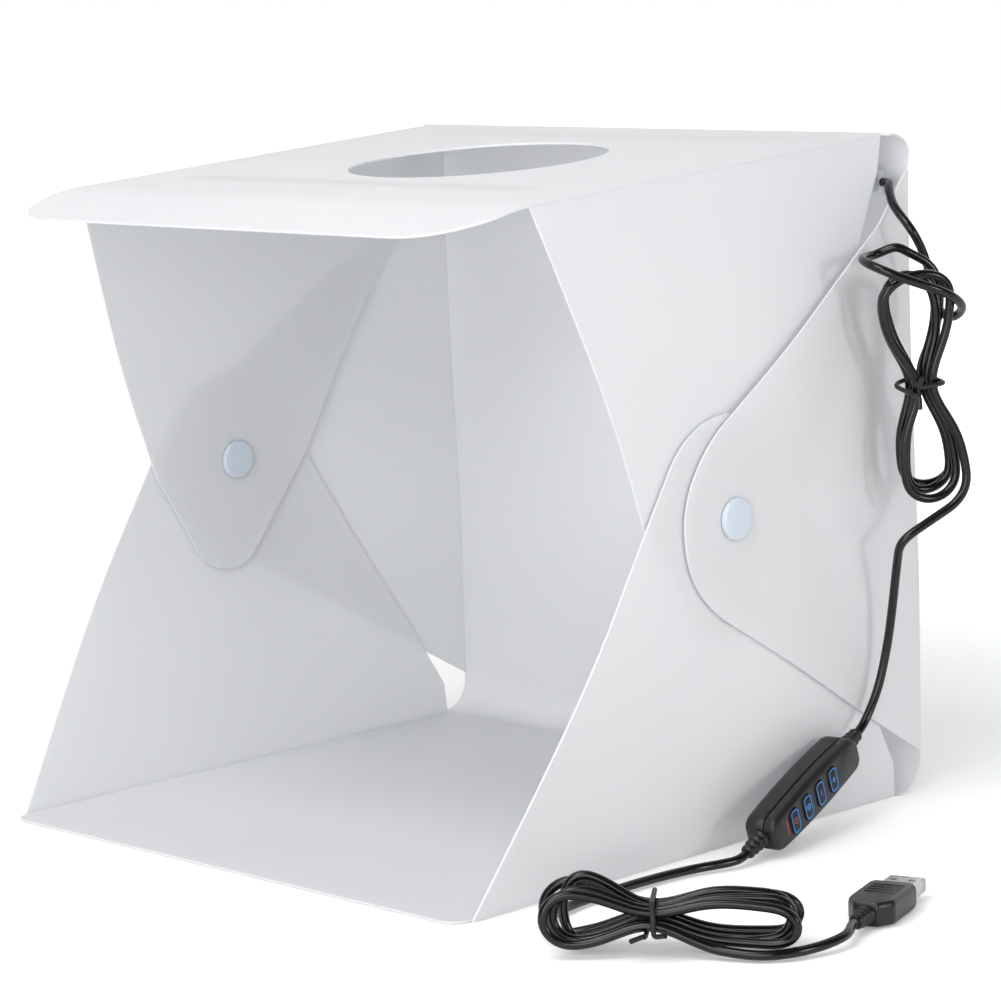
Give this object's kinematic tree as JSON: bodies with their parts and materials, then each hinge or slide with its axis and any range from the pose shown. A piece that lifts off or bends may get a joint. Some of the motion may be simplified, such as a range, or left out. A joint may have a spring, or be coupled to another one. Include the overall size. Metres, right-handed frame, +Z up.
{
  "type": "folding light tent cube",
  "caption": "Folding photo light box: frosted sheet cube with an open front, top camera hole, hinged side wings, light bars and a corded dimmer with plug.",
  "frame": {"origin": "middle of the box's footprint on the table, without the free cord and what is on it", "axes": "+Z up, -Y out of the open front, +X to the side with the cord"},
  "size_m": [0.3513, 0.2429, 0.2342],
  "materials": {
    "frosted_sheet": "frosted, slightly see-through",
    "cap_plastic": "satin",
    "magnet_plate": "plated",
    "foam_tape": "matt",
    "light_board": "satin",
    "link_wire": "satin",
    "cord_jacket": "glossy",
    "clip_plastic": "satin",
    "tie_plastic": "satin",
    "case_plastic": "satin",
    "key_rubber": "matt",
    "indicator_lens": "clear red",
    "circuit_board": "lacquered",
    "relief_rubber": "matt",
    "plated_shell": "plated",
    "tongue_plastic": "matt"
  },
  "bodies": {
    "back": {"back_panel": "frosted_sheet", "cord_clip": "clip_plastic"},
    "top": {"top_panel": "frosted_sheet", "led_tape_front": "foam_tape", "led_board_front": "light_board", "led_tape_rear": "foam_tape", "led_board_rear": "light_board", "board_link_wire": "link_wire", "lead_inner": "cord_jacket"},
    "floor": {"floor_panel": "frosted_sheet"},
    "upper_wing_left": {"upper_wing_left": "frosted_sheet", "cap_inner_left": "cap_plastic", "magnet_inner_left": "magnet_plate"},
    "lower_wing_left": {"lower_wing_left": "frosted_sheet"},
    "back_wing_left": {"back_wing_left": "frosted_sheet", "cap_outer_left": "cap_plastic", "magnet_outer_left": "magnet_plate"},
    "upper_wing_right": {"upper_wing_right": "frosted_sheet", "cap_inner_right": "cap_plastic", "magnet_inner_right": "magnet_plate"},
    "lower_wing_right": {"lower_wing_right": "frosted_sheet"},
    "back_wing_right": {"back_wing_right": "frosted_sheet", "cap_outer_right": "cap_plastic", "magnet_outer_right": "magnet_plate", "cord_drop": "cord_jacket", "cord_hank_upper": "cord_jacket", "hank_tie_upper": "tie_plastic", "cord_to_dimmer": "cord_jacket", "relief_upper": "relief_rubber", "dimmer_case_bottom": "case_plastic", "dimmer_case_top": "case_plastic", "dimmer_board": "circuit_board", "dimmer_indicator": "indicator_lens", "relief_lower": "relief_rubber", "cord_from_dimmer": "cord_jacket", "cord_hank_lower": "cord_jacket", "hank_tie_lower": "tie_plastic", "cord_to_plug": "cord_jacket", "plug_relief": "relief_rubber", "plug_overmold": "case_plastic", "plug_shell": "plated_shell", "plug_tongue": "tongue_plastic"},
    "button_brighter": {"button_brighter": "key_rubber"},
    "button_dimmer": {"button_dimmer": "key_rubber"},
    "button_tone": {"button_tone": "key_rubber"},
    "button_power": {"button_power": "key_rubber"}
  },
  "joints": [
    {"name": "top_fold", "type": "hinge", "parent": "back", "child": "top", "pos_m": [0, 0.10201, 0.23397], "axis": [-1, 0, 0], "range_deg": [0, 94]},
    {"name": "floor_fold", "type": "hinge", "parent": "back", "child": "floor", "pos_m": [0, 0.1029, 0], "axis": [1, 0, 0], "range_deg": [0, 90]},
    {"name": "upper_wing_left_fold", "type": "hinge", "parent": "top", "child": "upper_wing_left", "pos_m": [-0.1108, 0.10201, 0.23287], "axis": [0, -0.9976, -0.0698], "range_deg": [0, 78]},
    {"name": "back_wing_left_fold", "type": "hinge", "parent": "back", "child": "back_wing_left", "pos_m": [-0.115, 0.1145, 0.0145], "axis": [0, 0, -1], "range_deg": [0, 120]},
    {"name": "lower_wing_left_fold", "type": "hinge", "parent": "floor", "child": "lower_wing_left", "pos_m": [-0.1133, 0.1029, 0.0011], "axis": [0, -1, 0], "range_deg": [0, 72]},
    {"name": "upper_wing_right_fold", "type": "hinge", "parent": "top", "child": "upper_wing_right", "pos_m": [0.1108, 0.10201, 0.23287], "axis": [0, 0.9976, 0.0698], "range_deg": [0, 50]},
    {"name": "back_wing_right_fold", "type": "hinge", "parent": "back", "child": "back_wing_right", "pos_m": [0.115, 0.1145, 0.0145], "axis": [0, 0, 1], "range_deg": [0, 120]},
    {"name": "lower_wing_right_fold", "type": "hinge", "parent": "floor", "child": "lower_wing_right", "pos_m": [0.1133, 0.1029, 0.0011], "axis": [0, 1, 0], "range_deg": [0, 72]},
    {"name": "button_brighter_press", "type": "slide", "parent": "back_wing_right", "child": "button_brighter", "axis": [-0.9888, -0.1495, 0], "range_m": [0, 0.0004], "stiffness_N_per_m": 1000},
    {"name": "button_dimmer_press", "type": "slide", "parent": "back_wing_right", "child": "button_dimmer", "axis": [-0.9888, -0.1495, 0], "range_m": [0, 0.0004], "stiffness_N_per_m": 1000},
    {"name": "button_tone_press", "type": "slide", "parent": "back_wing_right", "child": "button_tone", "axis": [-0.9888, -0.1495, 0], "range_m": [0, 0.0004], "stiffness_N_per_m": 1000},
    {"name": "button_power_press", "type": "slide", "parent": "back_wing_right", "child": "button_power", "axis": [-0.9888, -0.1495, 0], "range_m": [0, 0.0004], "stiffness_N_per_m": 1000}
  ],
  "couplings": [
    {"joint": "lower_wing_left_fold", "follows": "back_wing_left_fold", "ratio": 0.6},
    {"joint": "lower_wing_right_fold", "follows": "back_wing_right_fold", "ratio": 0.6}
  ]
}
